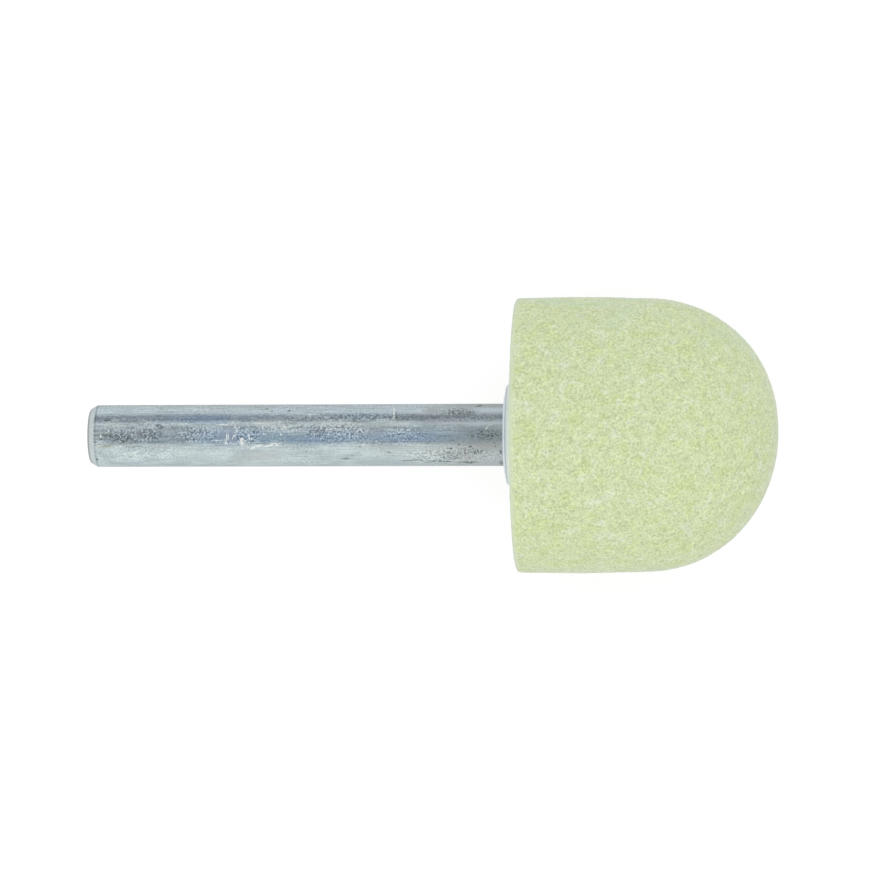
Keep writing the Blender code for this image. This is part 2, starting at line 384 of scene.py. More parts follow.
# Zones where the plating's own tone leans to another one, each with that tone and its share. The long
# strip near the +Y edge is no tone of the plating but painted shade.
BLUE_ZONES = (
    (11.5, 1.65, 4.5, 0.5), (13.5, -0.2, 4.8, 0.75), (22.5, -0.35, 5.0, 0.55), (31.0, -0.35, 4.0, 0.5),
)
TEAL_ZONES = (
    (2.8, 2.3, 2.2, 0.4), (6.0, -0.3, 2.0, 0.5), (19.0, -0.2, 2.0, 0.5), (26.5, 2.2, 3.0, 0.4),
)
MAUVE_ZONES = (
    (20.5, 1.6, 2.6, 0.5), (34.5, 1.5, 3.0, 0.45), (23.0, 0.6, 2.2, 0.4), (27.4, 0.4, 1.8, 0.4),
    (5.0, 0.9, 3.0, 0.4),
)
# Painted shade: a darker strip all along the shank near its +Y edge
PAINTED_SHADE_ZONES = ((20.0, 2.72, 26.0, 0.95),)
GREY_ZONES = ((4.6, -0.05, 6.0, 0.85), (4.0, 1.75, 3.6, 0.35))
PALE_ZONES = (
    (14.4, 1.45, 0.5, 0.6), (17.2, 1.40, 2.6, 0.30), (21.5, 1.75, 2.6, 0.35), (20.3, 0.30, 1.0, 0.30),
    (2.6, 0.95, 1.9, 0.28), (24.0, 1.25, 1.6, 0.30), (1.15, -0.1, 0.6, 0.9),
)
BEIGE_ZONES = ((19.5, 0.75, 2.0, 0.35), (27.5, 0.95, 4.5, 0.35))
WORN_ZONES = (
    (31.5, -1.10, 5.5, 0.45), (33.5, -1.6, 4.5, 0.7), (8.6, 0.75, 2.6, 0.30), (9.0, -0.30, 1.6, 0.50),
)
TINTS = (
    (BLUE_ZONES, ZINC_BLUE, 0.65), (TEAL_ZONES, ZINC_TEAL, 0.6), (MAUVE_ZONES, ZINC_MAUVE, 0.45),
    (PAINTED_SHADE_ZONES, ZINC_PAINTED_SHADE, 0.9), (GREY_ZONES, ZINC_GREY, 0.8), (PALE_ZONES, ZINC_PALE, 0.6),
    (BEIGE_ZONES, ZINC_BEIGE, 0.4), (WORN_ZONES, ZINC_WORN, 0.5),
)

# Stains that lie over the speckle, each with its tone and its share
PALE_SPOTS = ((16.95, 1.0, 0.35, 0.45), (17.3, 1.1, 0.9, 0.25))
LILAC_SPOTS = ((14.0, -0.12, 0.9, 0.75),)
CREAM_SPOTS = ((15.2, -0.62, 0.34, 0.36),)
FILM_SPOTS = ((16.8, -1.96, 1.8, 0.6), (14.6, -2.2, 0.8, 0.35))
RUST_SPOTS = (
    (36.6, -1.8, 0.7, 0.07, 90), (36.95, -2.18, 0.14, 0.24), (37.95, -1.15, 0.6, 0.06),
    (26.6, -1.12, 0.11, 0.09),
)
OLIVE_SPOTS = ((2.0, -1.0, 0.80, 0.14), (1.9, 0.15, 0.7, 0.12))
DEEP_BLUE_SPOTS = ((19.85, -0.47, 0.40, 0.18), (17.5, -0.53, 0.72, 0.13))
NECK_TOP = ((38.6, 2.3, 2.4, 0.32),)
NECK_MIDDLE = ((38.8, 1.15, 4.2, 0.22),)
NECK_LINES = ((38.8, -0.95, 4.2, 0.30), (38.8, 2.75, 4.6, 0.2), (38.8, 0.72, 4.2, 0.12))
STAINS = (
    (PALE_SPOTS, ZINC_PALE, 0.5), (LILAC_SPOTS, ZINC_LILAC, 0.5), (CREAM_SPOTS, CREAM, 0.6),
    (FILM_SPOTS, GREY_FILM, 0.6), (RUST_SPOTS, RUST, 0.6), (OLIVE_SPOTS, OLIVE, 0.6),
    (DEEP_BLUE_SPOTS, DEEP_BLUE, 0.30), (NECK_TOP, NECK_BLUE, 0.5), (NECK_MIDDLE, NECK_GREY, 0.5),
    (NECK_LINES, TARNISH_AND_PAINTED_SHADE, 0.45),
)

# Light: the tent's brightness at angles about the tool's axis, from straight up, turning towards +Y
TENT = (
    (-180, (0.93, 0.93, 0.93)), (-100, (0.95, 0.95, 0.95)), (-90, (1.07, 1.07, 1.07)),
    (-50, (1.08, 1.08, 1.08)), (-33, (1.04, 1.04, 1.03)), (-28, (0.61, 0.65, 0.70)),
    (-23, (0.51, 0.565, 0.63)), (-12, (0.54, 0.595, 0.655)), (4, (0.56, 0.62, 0.705)),
    (12, (0.66, 0.70, 0.76)), (30, (0.64, 0.68, 0.74)), (37, (0.82, 0.85, 0.88)),
    (48, (0.95, 0.96, 0.98)), (56, (0.56, 0.58, 0.62)), (62, (0.40, 0.43, 0.48)),
    (72, (0.43, 0.46, 0.53)), (80, (0.52, 0.55, 0.62)), (88, (0.78, 0.80, 0.84)),
    (95, (0.92, 0.92, 0.92)),
)
TENT_END = (1.0, 1.0, 1.0, 1.0)
TENT_END_STEP = (0.45, 0.80)
FILL_SIZE = 1.2
FILL_DISTANCE = 1.0
FILLS = (
    ("fill_above", (0.0, 0.0, 1.0), 2.4),
    ("fill_behind", (0.2, 1.0, 0.45), 2.3),
    ("fill_front", (0.0, -1.0, 0.5), 0.6),
)
FLOOR_REACH = 3.0
FLOOR_COLOUR = (0.85, 0.85, 0.85)
FLOOR_SHADED = (0.30, 0.30, 0.30)
FLOOR_GLOW = 0.75


def look_down():
    """The camera above the tool, swung a little towards the dome."""
    toward = Vector((math.sin(CAMERA_SWING), 0.0, math.cos(CAMERA_SWING)))
    level_right = Vector((math.cos(CAMERA_SWING), 0.0, -math.sin(CAMERA_SWING)))
    level_up = Vector((0.0, 1.0, 0.0))
    right = math.cos(CAMERA_ROLL) * level_right - math.sin(CAMERA_ROLL) * level_up
    up = math.sin(CAMERA_ROLL) * level_right + math.cos(CAMERA_ROLL) * level_up
    pixel = MM / PIXELS_PER_MM
    centre = FRAME_PIXELS / 2
    across = (HEAD_BACK_PIXEL[0] - centre) * pixel
    above = (centre - HEAD_BACK_PIXEL[1]) * pixel
    target = Vector((HEAD_BACK, 0.0, 0.0))
    data = bpy.data.cameras.new("camera")
    data.sensor_width = SENSOR
    data.lens = SENSOR * FOCAL_PIXELS / FRAME_PIXELS
    data.clip_start = CLIP_START
    data.clip_end = CLIP_END
    camera = bpy.data.objects.new("camera", data)
    bpy.context.scene.collection.objects.link(camera)
    camera.matrix_world = frame_matrix(right, up, toward)
    camera.location = target + toward * FOCAL_PIXELS * pixel - right * across - up * above
    bpy.context.scene.camera = camera


def frame_matrix(right, up, toward):
    """A rotation whose columns are the camera's own axes."""
    rows = [(right[i], up[i], toward[i], 0.0) for i in range(3)]
    return Matrix(rows + [(0.0, 0.0, 0.0, 1.0)])


# Turned forms


def arc(centre_radius, centre_along, radius, start, end, steps):
    """Points of an arc in the (radius, along) plane, with angles in degrees from radial."""
    points = []
    for i in range(steps + 1):
        angle = math.radians(start + (end - start) * i / steps)
        along = centre_along + radius * math.sin(angle)
        points.append((centre_radius + radius * math.cos(angle), along))
    return points


def evenly(points, step):
    """The same polyline, with its points about one step apart and both of its ends kept."""
    lengths = [0.0]
    for (r0, a0), (r1, a1) in zip(points, points[1:]):
        lengths.append(lengths[-1] + math.hypot(r1 - r0, a1 - a0))
    count = max(1, round(lengths[-1] / step))
    spaced = []
    piece = 0
    for i in range(count + 1):
        want = lengths[-1] * i / count
        while piece < len(points) - 2 and lengths[piece + 1] < want:
            piece += 1
        share = (want - lengths[piece]) / (lengths[piece + 1] - lengths[piece])
        (r0, a0), (r1, a1) = points[piece], points[piece + 1]
        spaced.append((r0 + (r1 - r0) * share, a0 + (a1 - a0) * share))
    return spaced


def broken_corner(before, corner, after, size):
    """Three points that round a corner of a profile by about size, or less on a short edge."""
    points = []
    for other in (before, after):
        reach = math.hypot(other[0] - corner[0], other[1] - corner[1])
        share = min(size / reach, LARGEST_BREAK_SHARE)
        points.append(tuple(c + (o - c) * share for c, o in zip(corner, other)))
    middle = tuple(0.5 * c + 0.25 * (p + q) for c, p, q in zip(corner, points[0], points[1]))
    return [points[0], middle, points[1]]


def soften(profile, size):
    """A profile with each of its inner corners broken by a small radius."""
    points = [profile[0]]
    for before, corner, after in zip(profile, profile[1:], profile[2:]):
        points += broken_corner(before, corner, after, size)
    return points + [profile[-1]]


def bridge(mesh, first, second):
    """Faces between two rings whose counts are equal or differ by a factor of two."""
    if len(first) == len(second):
        for i in range(len(first)):
            j = (i + 1) % len(first)
            mesh.faces.new((first[i], first[j], second[j], second[i]))
        return
    flip = len(first) < len(second)
    coarse, fine = (first, second) if flip else (second, first)
    for i in range(len(coarse)):
        j = (i + 1) % len(coarse)
        a, b, c = fine[2 * i], fine[2 * i + 1], fine[(2 * i + 2) % len(fine)]
        for face in ((a, b, coarse[i]), (b, coarse[j], coarse[i]), (b, c, coarse[j])):
            mesh.faces.new(face)


def revolve(name, profile, counts, place, closed=False):
    """A mesh object turned from a (radius, along) profile.

    counts(radius) is the number of points round a ring, and place(radius, along, angle, i) puts a
    point of ring i in space. A profile that starts or ends on the axis is closed there by a fan.
    """
    mesh = bmesh.new()
    rings = []
    for i, (radius, along) in enumerate(profile):
        if radius <= 0.0:
            rings.append([mesh.verts.new(place(0.0, along, 0.0, i))])
            continue
        count = counts(radius)
        angles = [2 * math.pi * j / count for j in range(count)]
        rings.append([mesh.verts.new(place(radius, along, angle, i)) for angle in angles])
    pairs = list(zip(rings, rings[1:]))
    if closed:
        pairs.append((rings[-1], rings[0]))
    for first, second in pairs:
        if len(first) == 1 or len(second) == 1:
            hub, rim = (first[0], second) if len(first) == 1 else (second[0], first)
            for j in range(len(rim)):
                mesh.faces.new((hub, rim[j], rim[(j + 1) % len(rim)]))
        else:
            bridge(mesh, first, second)
    bmesh.ops.recalc_face_normals(mesh, faces=mesh.faces)
    data = bpy.data.meshes.new(name)
    mesh.to_mesh(data)
    mesh.free()
    data.shade_smooth()
    piece = bpy.data.objects.new(name, data)
    bpy.context.scene.collection.objects.link(piece)
    return piece


def on_circle(radius, along, angle):
    """A point round the tool's axis, with angle 0 at the bottom."""
    return Vector((along, radius * math.sin(angle), -radius * math.cos(angle)))


# Spindle


def groove_edges():
    """The far and near edge of each retaining groove, from the tip side."""
    pitch = (KNURL_END - KNURL_START) / GROOVE_COUNT
    centres = [KNURL_END - pitch * (i + 0.5) for i in range(GROOVE_COUNT)]
    return [(centre + GROOVE_WIDTH / 2, centre - GROOVE_WIDTH / 2) for centre in centres]


def spindle_outline():
    """Anchor tip, grooves, plain shank and chamfered end, with every edge broken."""
    groove_radius = SHANK_RADIUS - GROOVE_DEPTH
    points = [(0.0, ANCHOR_TIP), (SHANK_RADIUS - ANCHOR_TIP_CHAMFER, ANCHOR_TIP)]
    points += [(SHANK_RADIUS, ANCHOR_TIP - ANCHOR_TIP_CHAMFER)]
    for far, near in groove_edges():
        points += [(SHANK_RADIUS, far), (groove_radius, far)]
        points += [(groove_radius, near), (SHANK_RADIUS, near)]
    points += [(SHANK_RADIUS, KNURL_START), (SHANK_RADIUS, KNURL_START - KNURL_DEPTH)]
    slope = END_CHAMFER_DEPTH / END_CHAMFER_LENGTH
    points += [(SHANK_RADIUS, END_FACE + END_CHAMFER_LENGTH)]
    corner = SHANK_RADIUS - END_CHAMFER_DEPTH
    inwards, back = END_ROUND_MIDDLE
    points += [(corner + slope * END_ROUND, END_FACE + END_ROUND)]
    points += [(corner - inwards, END_FACE + back)]
    points += [(corner - END_ROUND, END_FACE), (0.0, END_FACE)]
    return soften(points, EDGE_BREAK)


def make_spindle():
    """The spindle: round shank, and a knurled and grooved end inside the head."""
    turn = TURN_PER_RIDGE * KNURL_RIDGES

    def place(radius, along, angle, ring):
        if along > KNURL_START - EDGE_BREAK and radius > SHANK_RADIUS - KNURL_DEPTH:
            across = (angle * KNURL_RIDGES / (2 * math.pi)) % 1.0
            valley = max(0.0, 1.0 - VALLEY_SLOPE * abs(across - 0.5))
            radius = max(SHANK_RADIUS - KNURL_DEPTH, radius - KNURL_DEPTH * valley)
        return on_circle(radius, along, angle)

    outline = spindle_outline()
    piece = revolve("zinc_spindle", outline, lambda radius: turn, place)
    piece.data.set_sharp_from_angle(angle=SHARP_ANGLE)
    return piece


# Collar


def make_collar():
    """The collar: flange with a rounded rim, low step and sleeve, seated on the head and the shank."""
    front = SHOULDER - STEP_HEIGHT
    seat = HEAD_BACK - SEAT_GAP
    bore = SHANK_RADIUS + SEAT_GAP
    edge_along = SHOULDER + FLANGE_EDGE_RADIUS
    edge_centre = FLANGE_RADIUS - FLANGE_EDGE_RADIUS
    points = [(bore, SLEEVE_END), (SLEEVE_RADIUS, SLEEVE_END)]
    points += [(SLEEVE_RADIUS, seat), (FLANGE_RADIUS, seat)]
    points += arc(edge_centre, edge_along, FLANGE_EDGE_RADIUS, 0, -90, FLANGE_EDGE_STEPS)
    points += [(STEP_RADIUS, SHOULDER), (STEP_RADIUS, front), (bore, front)]
    outline = soften(points, EDGE_BREAK)

    def place(radius, along, angle, ring):
        return on_circle(radius, along, angle)

    piece = revolve("collar_bush", outline, lambda radius: COLLAR_TURN, place, closed=True)
    piece.data.set_sharp_from_angle(angle=SHARP_ANGLE)
    return piece


# Head


def outer_outline():
    """Dome, crowned side, rounded back edge and back face, down to the bore's mouth."""
    power = 2 / DOME_EXPONENT
    dome_start = HEAD_BACK + CYLINDER_LENGTH
    tip = HEAD_TIP + TIP_EXTRA
    dome_height = tip - dome_start
    points = []
    for i in range(OUTLINE_STEPS + 1):
        angle = math.pi / 2 * (1 - i / OUTLINE_STEPS)
        radius = HEAD_RADIUS * max(math.cos(angle), 0.0) ** power
        points.append((radius, dome_start + dome_height * math.sin(angle) ** power))
    points[0] = (0.0, tip)
    straight = CYLINDER_LENGTH - HEAD_EDGE_RADIUS
    for i in range(1, OUTLINE_STEPS):
        share = i / OUTLINE_STEPS
        swell = HEAD_CROWN * math.sin(math.pi * share) + BACK_FLARE * share ** 4
        points.append((HEAD_RADIUS + swell, dome_start - straight * share))
    edge_along = HEAD_BACK + HEAD_EDGE_RADIUS
    edge_centre = HEAD_RADIUS + BACK_FLARE - HEAD_EDGE_RADIUS
    points += arc(edge_centre, edge_along, HEAD_EDGE_RADIUS, 0, -90, HEAD_EDGE_STEPS)
    points.append((SLEEVE_RADIUS + CLEARANCE, HEAD_BACK))
    return evenly(points, GRAIN_STEP)


def bore_outline():
    """The bore from its mouth inwards: counterbore, then the spindle's grooved end with clearance."""
    bore = SHANK_RADIUS + CLEARANCE
    rib = SHANK_RADIUS - GROOVE_DEPTH + CLEARANCE
    shoulder = SLEEVE_END + CLEARANCE
    bottom = ANCHOR_TIP + CLEARANCE
    points = [(SLEEVE_RADIUS + CLEARANCE, shoulder), (bore, shoulder)]
    for far, near in reversed(groove_edges()):
        near, far = near + CLEARANCE, far - CLEARANCE
        points += [(bore, near), (rib, near), (rib, far), (bore, far)]
    points += [(bore, bottom - ANCHOR_TIP_CHAMFER), (bore - ANCHOR_TIP_CHAMFER, bottom)]
    return points + [(0.0, bottom)]


def ring_count(radius):
    """Points round a ring of the head, halved towards the axis to stay about a step apart."""
    count = GRAIN_TURN
    while count > FEWEST_TURN and 2 * math.pi * radius / count < CLOSEST_SHARE * GRAIN_STEP:
        count //= 2
    return count


def grain(point):
    """Height of the head's surface over its smooth form: lumps, and pits between the grains."""
    warp = noise.noise_vector(point / GRAIN_WARP_SIZE) * GRAIN_WARP
    near = noise.voronoi((point + warp) / GRAIN_SIZE)[0][0]
    ridge = min(1.0, GRAIN_SLOPE * near) - GRAIN_LEVEL
    lump = noise.noise(point / LUMP_SIZE)
    fine = noise.noise(point / FINE_SIZE)
    return GRAIN_RELIEF * (ridge + FINE_SHARE * fine) + LUMP_RELIEF * lump


def lean(along):
    """How far the head's middle lies off the shank's axis, towards +Y."""
    reach = (HEAD_TIP - HEAD_BACK) - LEAN_START
    share = max(0.0, (along - HEAD_BACK - LEAN_START) / reach)
    return DOME_LEAN * share * share - HEAD_DROP


def make_head():
    """The abrasive head: its outside carries the grain as relief, and its bore is plain."""
    outside = outer_outline()
    profile = outside + bore_outline()
    normals = []
    for i in range(len(outside)):
        r0, a0 = outside[max(i - 1, 0)]
        r1, a1 = outside[min(i + 1, len(outside) - 1)]
        length = math.hypot(r1 - r0, a1 - a0)
        normals.append(((a0 - a1) / length, (r1 - r0) / length))

    def place(radius, along, angle, ring):
        point = on_circle(radius, along, angle)
        if ring < len(outside) - 1:
            out_radius, out_along = normals[ring]
            height = grain(point)
            point += on_circle(out_radius * height, out_along * height, angle)
        point.y += lean(along)
        return point

    return revolve("abrasive_head", profile, ring_count, place)


# Materials


class Nodes:
    """Short calls for building a node tree."""

    def __init__(self, tree):
        self.tree = tree

    def add(self, kind, **settings):
        node = self.tree.nodes.new(kind)
        for key, value in settings.items():
            setattr(node, key, value)
        return node

    def feed(self, socket, value):
        """Link an output to a socket, or set the socket's own value."""
        if isinstance(value, bpy.types.NodeSocket):
            self.tree.links.new(value, socket)
        else:
            socket.default_value = value

    def math(self, operation, first, second=0.0):
        node = self.add("ShaderNodeMath", operation=operation)
        self.feed(node.inputs[0], first)
        self.feed(node.inputs[1], second)
        return node.outputs[0]

    def remap(self, value, low, high, to_low=0.0, to_high=1.0):
        """A smooth step of a value: to_low below low, to_high above high."""
        node = self.add("ShaderNodeMapRange", interpolation_type="SMOOTHSTEP")
        self.feed(node.inputs["Value"], value)
        names = ("From Min", "From Max", "To Min", "To Max")
        for name, number in zip(names, (low, high, to_low, to_high)):
            self.feed(node.inputs[name], number)
        return node.outputs["Result"]

    def vector(self, operation, first, second):
        node = self.add("ShaderNodeVectorMath", operation=operation)
        self.feed(node.inputs[0], first)
        self.feed(node.inputs[1], second)
        return node.outputs[0]

    def noise(self, coordinates, size, detail=2.0, roughness=0.5, output="Fac"):
        node = self.add("ShaderNodeTexNoise")
        self.feed(node.inputs["Vector"], coordinates)
        self.feed(node.inputs["Scale"], 1 / size)
        self.feed(node.inputs["Detail"], detail)
        self.feed(node.inputs["Roughness"], roughness)
        return node.outputs[output]

    def cells(self, coordinates, size):
        node = self.add("ShaderNodeTexVoronoi")
        self.feed(node.inputs["Vector"], coordinates)
        self.feed(node.inputs["Scale"], 1 / size)
        return node.outputs["Distance"]

    def warp(self, coordinates, size, reach):
        """Coordinates pushed about by a noise of that size, by up to about reach."""
        field = self.noise(coordinates, size, output="Color")
        push = self.vector("SUBTRACT", field, (0.5, 0.5, 0.5))
        return self.vector("ADD", coordinates, self.vector("MULTIPLY", push, (2 * reach,) * 3))

    def mix(self, factor, first, second, blend="MIX"):
        node = self.add("ShaderNodeMix", data_type="RGBA", blend_type=blend)
        sockets = {}
        for socket in node.inputs:
            if socket.enabled:
                sockets[socket.name] = socket
        self.feed(sockets["Factor"], factor)
        self.feed(sockets["A"], first)
        self.feed(sockets["B"], second)
        return [socket for socket in node.outputs if socket.enabled][0]

    def bump(self, height, distance, normal=None):
        """A bump of heights from 0 to 1 that stand distance high."""
        node = self.add("ShaderNodeBump")
        self.feed(node.inputs["Distance"], distance)
        self.feed(node.inputs["Height"], height)
        if normal is not None:
            self.feed(node.inputs["Normal"], normal)
        return node.outputs["Normal"]


def colour(red, green, blue):
    return (red, green, blue, 1.0)


def new_material(name):
    """A material with its Principled shader, and the calls to build the rest of its nodes."""
    material = bpy.data.materials.new(name)
    material.use_nodes = True
    nodes = Nodes(material.node_tree)
    shader = material.node_tree.nodes["Principled BSDF"]
    place = nodes.add("ShaderNodeTexCoord").outputs["Object"]
    return material, nodes, shader, place


def radius_of(nodes, parts):
    """Distance from the tool's axis."""
    squares = [nodes.math("MULTIPLY", parts.outputs[axis], parts.outputs[axis]) for axis in "YZ"]
    return nodes.math("SQRT", nodes.math("ADD", *squares))


def ridged(nodes, place, size, width):
    """Thin curved ridges that wind round pits: 1 on a ridge, 0 beyond its width in noise value."""
    level = nodes.noise(place, size, detail=1.0, roughness=0.4)
    level = nodes.math("ABSOLUTE", nodes.math("SUBTRACT", level, 0.5))
    return nodes.remap(level, 0.0, width, 1.0, 0.0)


def shade(nodes, tone, mask, factor):
    """A tone multiplied by a colour factor where a mask is 1."""
    return nodes.mix(mask, tone, nodes.mix(1.0, tone, factor, blend="MULTIPLY"))


def abrasive_material():
    """Bonded abrasive: yellow green grains, pale curved ridges, dark pits and whitish flecks."""
    material, nodes, shader, place = new_material("bonded_abrasive")
    parts = nodes.add("ShaderNodeSeparateXYZ")
    nodes.feed(parts.inputs[0], place)
    soft = nodes.warp(place, PATTERN_WARP_SIZE, PATTERN_WARP)
    stones = nodes.noise(soft, STONE_SIZE, detail=2.0, roughness=0.55)
    worms = ridged(nodes, soft, WORM_SIZE, WORM_WIDTH)
    worm_patches = nodes.remap(nodes.noise(place, WORM_PATCH_SIZE, detail=1.0), *WORM_PATCH_STEP)
    worms = nodes.math("MULTIPLY", worms, worm_patches)
    height = nodes.math("ADD", stones, nodes.math("MULTIPLY", worms, WORM_SHARE))
    broad = nodes.math("MULTIPLY", nodes.noise(place, BROAD_SIZE), BROAD_SHARE)
    height = nodes.math("ADD", height, broad)
    tone = nodes.mix(nodes.remap(height, *BODY_STEP), GRAIN_PIT, GRAIN_BODY)
    tone = nodes.mix(nodes.remap(height, *RIDGE_STEP), tone, GRAIN_RIDGE)
    pits = nodes.remap(nodes.cells(soft, PIT_SIZE), *PIT_FADE, 1.0, 0.0)
    pit_patches = nodes.remap(nodes.noise(place, PIT_PATCH_SIZE), *PIT_PATCH_STEP)
    pits = nodes.math("MULTIPLY", pits, pit_patches)
    tone = nodes.mix(nodes.math("MULTIPLY", pits, PIT_SHARE), tone, GRAIN_PIT)
    yellow = nodes.remap(nodes.noise(place, YELLOW_SIZE), *YELLOW_STEP)
    tone = shade(nodes, tone, yellow, YELLOWER)
    patches = nodes.remap(nodes.noise(place, GREY_SIZE, roughness=0.55), *GREY_STEP)
    tone = shade(nodes, tone, patches, GREYER)
    fleck_patches = nodes.remap(patches, *FLECK_PATCH_STEP)
    flecks = nodes.remap(stones, *FLECK_STEP, 0.0, FLECK_SHARE)
    flecks = nodes.math("MULTIPLY", fleck_patches, flecks)
    tone = nodes.mix(flecks, tone, FLECK)
    tone = nodes.mix(green_patches(nodes, place, parts.outputs["Y"]), tone, GREEN_PATCH)
    # A greyer back rim, partly painted light
    tone = nodes.mix(back_rim_and_painted_light(nodes, parts), tone, BACK_RIM_AND_PAINTED_LIGHT)
    nodes.feed(shader.inputs["Base Color"], tone)
    shader.inputs["Roughness"].default_value = ABRASIVE_ROUGHNESS
    shader.inputs["Specular IOR Level"].default_value = ABRASIVE_SPECULAR
    shader.inputs["Sheen Weight"].default_value = SHEEN_WEIGHT
    shader.inputs["Sheen Roughness"].default_value = SHEEN_ROUGHNESS
    shader.inputs["Sheen Tint"].default_value = SHEEN_TINT
    nodes.feed(shader.inputs["Normal"], nodes.bump(height, PATTERN_BUMP))
    return material


def green_patches(nodes, place, across):
    """Where the abrasive leans to green: broad patches, mostly towards +Y."""
    moved = nodes.vector("ADD", place, (1.0, 0.0, 0.0))
    green = nodes.remap(nodes.noise(moved, GREEN_SIZE), *GREEN_STEP)
    return nodes.math("MULTIPLY", green, nodes.remap(across, GREEN_START, GREEN_END, *GREEN_SHARES))


def back_rim_and_painted_light(nodes, parts):
    """Where the head's back edge is paler and greyer: its own greyer tone, and painted light that
    lifts its rounded edge.
    """
    rim = nodes.remap(parts.outputs["X"], RIM_START, RIM_END, RIM_SHARE, 0.0)
    edge_start = HEAD_RADIUS - RIM_EDGE
    edge_end = HEAD_RADIUS - RIM_EDGE_END
    edge = nodes.remap(radius_of(nodes, parts), edge_start, edge_end, RIM_EDGE_SHARE, 1.0)
    return nodes.math("MULTIPLY", rim, edge)


class Markings:
    """Masks for marks on the shank's upper side."""

    def __init__(self, nodes, place, upper):
        """place is where a mark is looked up, and upper is 1 on the upper side and 0 below."""
        self.nodes = nodes
        self.upper = upper
        parts = nodes.add("ShaderNodeSeparateXYZ")
        nodes.feed(parts.inputs[0], place)
        self.straight = self.pair(parts.outputs["X"], parts.outputs["Y"])
        self.swapped = self.pair(parts.outputs["Y"], parts.outputs["X"])

    def pair(self, first, second):
        node = self.nodes.add("ShaderNodeCombineXYZ")
        self.nodes.feed(node.inputs["X"], first)
        self.nodes.feed(node.inputs["Y"], second)
        return node.outputs[0]

    def scaled(self, coordinates, scale, offset):
        node = self.nodes.add("ShaderNodeVectorMath", operation="MULTIPLY_ADD")
        for socket, value in zip(node.inputs, (coordinates, scale, offset)):
            self.nodes.feed(socket, value)
        return node.outputs[0]

    def one(self, mark, solid):
        """One oval mark: its numbers are in millimetres, and its angle, if any, in degrees."""
        along, across, half_length, half_width = (value * MM for value in mark[:4])
        turn = math.radians(mark[4]) if len(mark) > 4 else 0.0
        cos, sin = math.cos(turn), math.sin(turn)
        middle_along = -(along * cos + across * sin) / half_length
        middle_across = (along * sin - across * cos) / half_width
        scale = (cos / half_length, cos / half_width, 0.0)
        oval = self.scaled(self.straight, scale, (middle_along, middle_across, 0.0))
        if turn:
            oval = self.scaled(self.swapped, (sin / half_length, -sin / half_width, 0.0), oval)
        length = self.nodes.add("ShaderNodeVectorMath", operation="LENGTH")
        self.nodes.feed(length.inputs[0], oval)
        return self.nodes.remap(length.outputs["Value"], solid, 2 * MARK_EDGE - solid, 1.0, 0.0)

    def mask(self, marks, solid, share=1.0):
        """A group of marks, from 0 to share, each full out to the solid part of its size."""
        total = self.one(marks[0], solid)
        for mark in marks[1:]:
            total = self.nodes.math("MAXIMUM", total, self.one(mark, solid))
        return self.nodes.math("MULTIPLY", total, self.nodes.math("MULTIPLY", self.upper, share))


